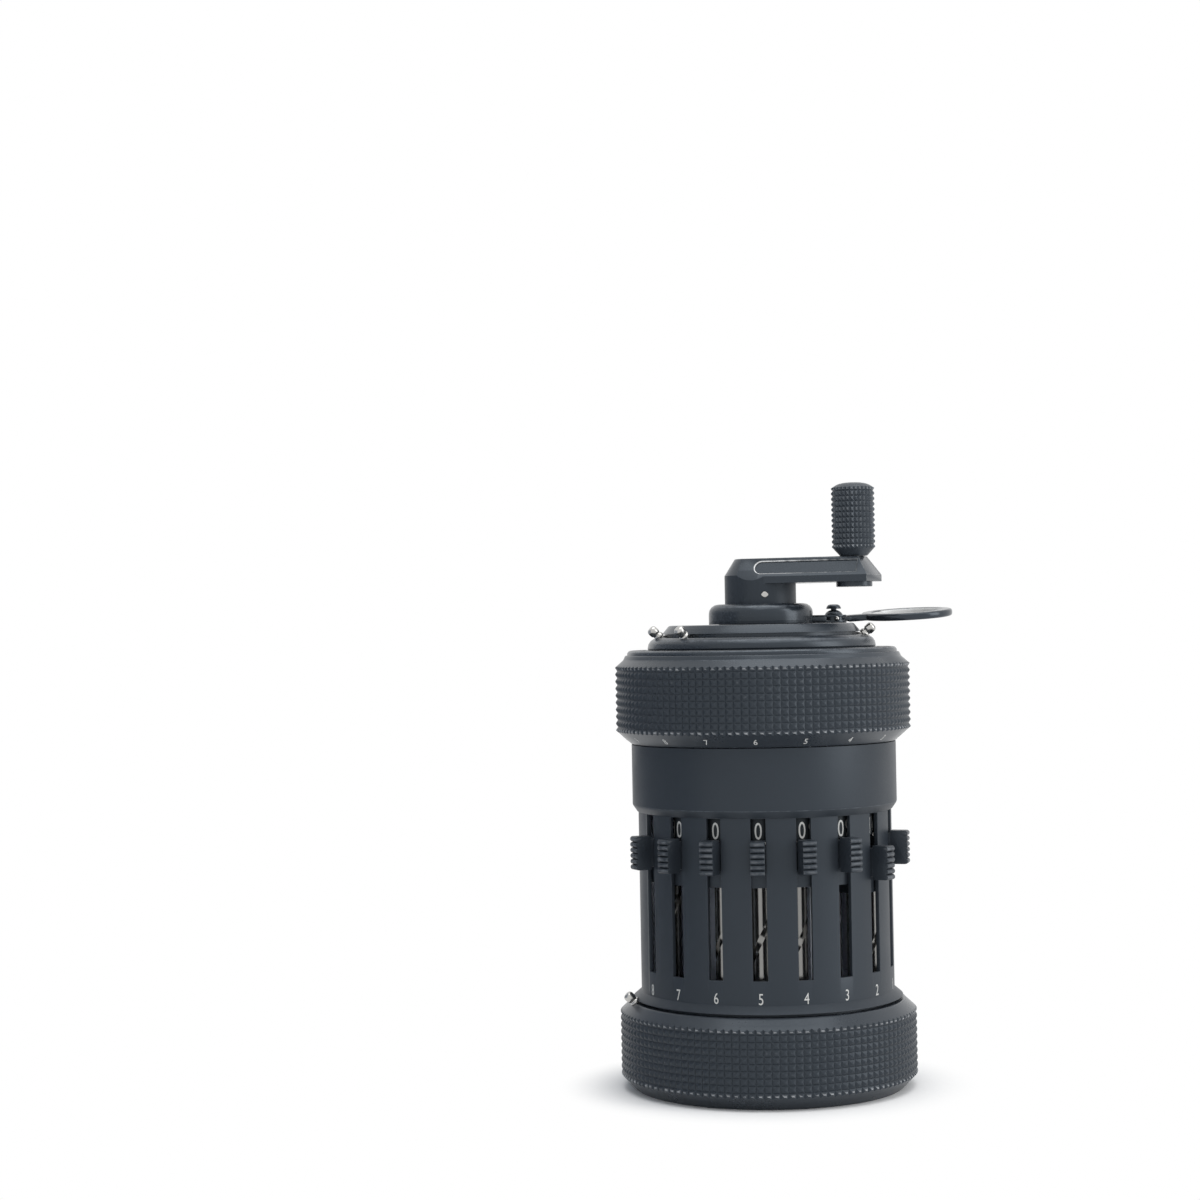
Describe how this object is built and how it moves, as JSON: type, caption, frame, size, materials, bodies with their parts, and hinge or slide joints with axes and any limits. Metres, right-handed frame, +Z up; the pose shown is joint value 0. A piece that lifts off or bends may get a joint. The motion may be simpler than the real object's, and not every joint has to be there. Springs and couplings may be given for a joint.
{
  "type": "mechanical pocket calculator",
  "caption": "Hand-cranked cylindrical calculator with setting sliders round the body, a lifting and turning carriage of number dials, a clearing ring and a crank on top.",
  "frame": {"origin": "centre of the flat foot, on the table", "axes": "+Z up the main shaft, -Y through the middle of the setting side"},
  "size_m": [0.0621, 0.053, 0.1073],
  "materials": {
    "black_enamel": "satin",
    "black_knob": "gloss",
    "bright_steel": "polished",
    "plate_metal": "satin",
    "marker_silver": "polished",
    "dial_black": "matte"
  },
  "bodies": {
    "housing": {"base_ring": "black_enamel", "base_plate": "black_enamel", "marker_collar": "black_enamel", "setting_housing": "black_enamel", "body_band": "black_enamel", "lower_plate": "plate_metal", "upper_plate": "plate_metal", "transmission_shafts": "bright_steel"},
    "crank_slide": {"thrust_sleeve": "bright_steel"},
    "crank": {"main_shaft": "bright_steel", "step_drum": "bright_steel", "carry_bell": "bright_steel", "crank_arm": "black_enamel", "crank_pin": "marker_silver"},
    "knob": {"crank_knob": "black_knob"},
    "carriage_slide": {"carriage_sleeve": "bright_steel", "carriage_spring": "bright_steel"},
    "carriage": {"carriage_ring": "black_enamel", "carriage_cover": "black_enamel", "dial_frame": "plate_metal"},
    "clearing": {"clearing_lever": "black_enamel"},
    "ring": {"finger_ring": "black_enamel"},
    "lower_marker": {"lower_marker": "marker_silver"},
    "reversing": {"reversing_lever": "black_enamel"},
    "upper_marker_1": {"upper_marker_1": "marker_silver"},
    "upper_marker_2": {"upper_marker_2": "marker_silver"},
    "upper_marker_3": {"upper_marker_3": "marker_silver"},
    "slider_1": {"slider_1": "black_enamel"},
    "slider_2": {"slider_2": "black_enamel"},
    "slider_3": {"slider_3": "black_enamel"},
    "slider_4": {"slider_4": "black_enamel"},
    "slider_5": {"slider_5": "black_enamel"},
    "slider_6": {"slider_6": "black_enamel"},
    "slider_7": {"slider_7": "black_enamel"},
    "slider_8": {"slider_8": "black_enamel"},
    "spindle_1": {"spindle_1": "bright_steel"},
    "spindle_2": {"spindle_2": "bright_steel"},
    "spindle_3": {"spindle_3": "bright_steel"},
    "spindle_4": {"spindle_4": "bright_steel"},
    "spindle_5": {"spindle_5": "bright_steel"},
    "spindle_6": {"spindle_6": "bright_steel"},
    "spindle_7": {"spindle_7": "bright_steel"},
    "spindle_8": {"spindle_8": "bright_steel"},
    "result_dial_1": {"result_dial_1": "dial_black"},
    "result_dial_2": {"result_dial_2": "dial_black"},
    "result_dial_3": {"result_dial_3": "dial_black"},
    "result_dial_4": {"result_dial_4": "dial_black"},
    "result_dial_5": {"result_dial_5": "dial_black"},
    "result_dial_6": {"result_dial_6": "dial_black"},
    "result_dial_7": {"result_dial_7": "dial_black"},
    "result_dial_8": {"result_dial_8": "dial_black"},
    "result_dial_9": {"result_dial_9": "dial_black"},
    "result_dial_10": {"result_dial_10": "dial_black"},
    "result_dial_11": {"result_dial_11": "dial_black"},
    "counter_dial_1": {"counter_dial_1": "dial_black"},
    "counter_dial_2": {"counter_dial_2": "dial_black"},
    "counter_dial_3": {"counter_dial_3": "dial_black"},
    "counter_dial_4": {"counter_dial_4": "dial_black"},
    "counter_dial_5": {"counter_dial_5": "dial_black"},
    "counter_dial_6": {"counter_dial_6": "dial_black"}
  },
  "joints": [
    {"name": "crank_lift", "type": "slide", "parent": "housing", "child": "crank_slide", "axis": [0, 0, 1], "range_m": [0, 0.003]},
    {"name": "crank_turn", "type": "hinge", "parent": "crank_slide", "child": "crank", "pos_m": [0, 0, 0.08], "axis": [0, 0, 1], "continuous": true},
    {"name": "knob_spin", "type": "hinge", "parent": "crank", "child": "knob", "pos_m": [0.01582, -0.00772, 0.098], "axis": [0, 0, 1], "continuous": true},
    {"name": "carriage_lift", "type": "slide", "parent": "housing", "child": "carriage_slide", "axis": [0, 0, 1], "range_m": [0, 0.0025], "stiffness_N_per_m": 800, "springref_m": -0.004, "deforming": ["carriage_spring"]},
    {"name": "carriage_turn", "type": "hinge", "parent": "carriage_slide", "child": "carriage", "pos_m": [0, 0, 0.07], "axis": [0, 0, 1], "range_deg": [-20, 80]},
    {"name": "clearing_turn", "type": "hinge", "parent": "carriage", "child": "clearing", "pos_m": [0, 0, 0.083], "axis": [0, 0, 1], "continuous": true},
    {"name": "ring_fold", "type": "hinge", "parent": "clearing", "child": "ring", "pos_m": [0.01359, 0.0024, 0.0833], "axis": [0, 0, 1], "range_deg": [0, 95]},
    {"name": "lower_marker_slide", "type": "hinge", "parent": "housing", "child": "lower_marker", "pos_m": [0, 0, 0.016], "axis": [0, 0, 1], "range_deg": [-40, 150]},
    {"name": "reversing_slide", "type": "slide", "parent": "housing", "child": "reversing", "axis": [0, 0, -1], "range_m": [0, 0.005]},
    {"name": "upper_marker_1_slide", "type": "hinge", "parent": "carriage", "child": "upper_marker_1", "pos_m": [0, 0, 0.08], "axis": [0, 0, 1], "range_deg": [-60, 12]},
    {"name": "upper_marker_2_slide", "type": "hinge", "parent": "carriage", "child": "upper_marker_2", "pos_m": [0, 0, 0.08], "axis": [0, 0, 1], "range_deg": [-12, 55]},
    {"name": "upper_marker_3_slide", "type": "hinge", "parent": "carriage", "child": "upper_marker_3", "pos_m": [0, 0, 0.08], "axis": [0, 0, 1], "range_deg": [-60, 60]},
    {"name": "set_1", "type": "slide", "parent": "housing", "child": "slider_1", "axis": [0, 0, -1], "range_m": [0, 0.018]},
    {"name": "spindle_1_turn", "type": "hinge", "parent": "housing", "child": "spindle_1", "pos_m": [0.01749, -0.00636, 0.035], "axis": [0, 0, 1], "range_deg": [-1, 325]},
    {"name": "set_2", "type": "slide", "parent": "housing", "child": "slider_2", "axis": [0, 0, -1], "range_m": [-0.002, 0.016]},
    {"name": "spindle_2_turn", "type": "hinge", "parent": "housing", "child": "spindle_2", "pos_m": [0.01426, -0.01196, 0.035], "axis": [0, 0, 1], "range_deg": [-37, 289]},
    {"name": "set_3", "type": "slide", "parent": "housing", "child": "slider_3", "axis": [0, 0, -1], "range_m": [0, 0.018]},
    {"name": "spindle_3_turn", "type": "hinge", "parent": "housing", "child": "spindle_3", "pos_m": [0.0093, -0.01612, 0.035], "axis": [0, 0, 1], "range_deg": [-1, 325]},
    {"name": "set_4", "type": "slide", "parent": "housing", "child": "slider_4", "axis": [0, 0, -1], "range_m": [0, 0.018]},
    {"name": "spindle_4_turn", "type": "hinge", "parent": "housing", "child": "spindle_4", "pos_m": [0.00323, -0.01833, 0.035], "axis": [0, 0, 1], "range_deg": [-1, 325]},
    {"name": "set_5", "type": "slide", "parent": "housing", "child": "slider_5", "axis": [0, 0, -1], "range_m": [0, 0.018]},
    {"name": "spindle_5_turn", "type": "hinge", "parent": "housing", "child": "spindle_5", "pos_m": [-0.00323, -0.01833, 0.035], "axis": [0, 0, 1], "range_deg": [-1, 325]},
    {"name": "set_6", "type": "slide", "parent": "housing", "child": "slider_6", "axis": [0, 0, -1], "range_m": [0, 0.018]},
    {"name": "spindle_6_turn", "type": "hinge", "parent": "housing", "child": "spindle_6", "pos_m": [-0.0093, -0.01612, 0.035], "axis": [0, 0, 1], "range_deg": [-1, 325]},
    {"name": "set_7", "type": "slide", "parent": "housing", "child": "slider_7", "axis": [0, 0, -1], "range_m": [0, 0.018]},
    {"name": "spindle_7_turn", "type": "hinge", "parent": "housing", "child": "spindle_7", "pos_m": [-0.01426, -0.01196, 0.035], "axis": [0, 0, 1], "range_deg": [-1, 325]},
    {"name": "set_8", "type": "slide", "parent": "housing", "child": "slider_8", "axis": [0, 0, -1], "range_m": [0, 0.018]},
    {"name": "spindle_8_turn", "type": "hinge", "parent": "housing", "child": "spindle_8", "pos_m": [-0.01749, -0.00636, 0.035], "axis": [0, 0, 1], "range_deg": [-1, 325]},
    {"name": "result_dial_1_turn", "type": "hinge", "parent": "carriage", "child": "result_dial_1", "pos_m": [0.02225, 0, 0.07289], "axis": [1, 0, 0], "continuous": true},
    {"name": "result_dial_2_turn", "type": "hinge", "parent": "carriage", "child": "result_dial_2", "pos_m": [0.02091, -0.00761, 0.07289], "axis": [0.9397, -0.342, 0], "continuous": true},
    {"name": "result_dial_3_turn", "type": "hinge", "parent": "carriage", "child": "result_dial_3", "pos_m": [0.01704, -0.0143, 0.07289], "axis": [0.766, -0.6428, 0], "continuous": true},
    {"name": "result_dial_4_turn", "type": "hinge", "parent": "carriage", "child": "result_dial_4", "pos_m": [0.01112, -0.01927, 0.07289], "axis": [0.5, -0.866, 0], "continuous": true},
    {"name": "result_dial_5_turn", "type": "hinge", "parent": "carriage", "child": "result_dial_5", "pos_m": [0.00386, -0.02191, 0.07289], "axis": [0.1736, -0.9848, 0], "continuous": true},
    {"name": "result_dial_6_turn", "type": "hinge", "parent": "carriage", "child": "result_dial_6", "pos_m": [-0.00386, -0.02191, 0.07289], "axis": [-0.1736, -0.9848, 0], "continuous": true},
    {"name": "result_dial_7_turn", "type": "hinge", "parent": "carriage", "child": "result_dial_7", "pos_m": [-0.01112, -0.01927, 0.07289], "axis": [-0.5, -0.866, 0], "continuous": true},
    {"name": "result_dial_8_turn", "type": "hinge", "parent": "carriage", "child": "result_dial_8", "pos_m": [-0.01704, -0.0143, 0.07289], "axis": [-0.766, -0.6428, 0], "continuous": true},
    {"name": "result_dial_9_turn", "type": "hinge", "parent": "carriage", "child": "result_dial_9", "pos_m": [-0.02091, -0.00761, 0.07289], "axis": [-0.9397, -0.342, 0], "continuous": true},
    {"name": "result_dial_10_turn", "type": "hinge", "parent": "carriage", "child": "result_dial_10", "pos_m": [-0.02225, 0, 0.07289], "axis": [-1, 0, 0], "continuous": true},
    {"name": "result_dial_11_turn", "type": "hinge", "parent": "carriage", "child": "result_dial_11", "pos_m": [-0.02091, 0.00761, 0.07289], "axis": [-0.9397, 0.342, 0], "continuous": true},
    {"name": "counter_dial_1_turn", "type": "hinge", "parent": "carriage", "child": "counter_dial_1", "pos_m": [-0.01704, 0.0143, 0.07289], "axis": [-0.766, 0.6428, 0], "continuous": true},
    {"name": "counter_dial_2_turn", "type": "hinge", "parent": "carriage", "child": "counter_dial_2", "pos_m": [-0.01112, 0.01927, 0.07289], "axis": [-0.5, 0.866, 0], "continuous": true},
    {"name": "counter_dial_3_turn", "type": "hinge", "parent": "carriage", "child": "counter_dial_3", "pos_m": [-0.00386, 0.02191, 0.07289], "axis": [-0.1736, 0.9848, 0], "continuous": true},
    {"name": "counter_dial_4_turn", "type": "hinge", "parent": "carriage", "child": "counter_dial_4", "pos_m": [0.00386, 0.02191, 0.07289], "axis": [0.1736, 0.9848, 0], "continuous": true},
    {"name": "counter_dial_5_turn", "type": "hinge", "parent": "carriage", "child": "counter_dial_5", "pos_m": [0.01112, 0.01927, 0.07289], "axis": [0.5, 0.866, 0], "continuous": true},
    {"name": "counter_dial_6_turn", "type": "hinge", "parent": "carriage", "child": "counter_dial_6", "pos_m": [0.01704, 0.0143, 0.07289], "axis": [0.766, 0.6428, 0], "continuous": true}
  ],
  "couplings": [
    {"joint": "spindle_1_turn", "follows": "set_1", "rad_per_m": 314.16},
    {"joint": "spindle_2_turn", "follows": "set_2", "rad_per_m": 314.16},
    {"joint": "spindle_3_turn", "follows": "set_3", "rad_per_m": 314.16},
    {"joint": "spindle_4_turn", "follows": "set_4", "rad_per_m": 314.16},
    {"joint": "spindle_5_turn", "follows": "set_5", "rad_per_m": 314.16},
    {"joint": "spindle_6_turn", "follows": "set_6", "rad_per_m": 314.16},
    {"joint": "spindle_7_turn", "follows": "set_7", "rad_per_m": 314.16},
    {"joint": "spindle_8_turn", "follows": "set_8", "rad_per_m": 314.16}
  ]
}
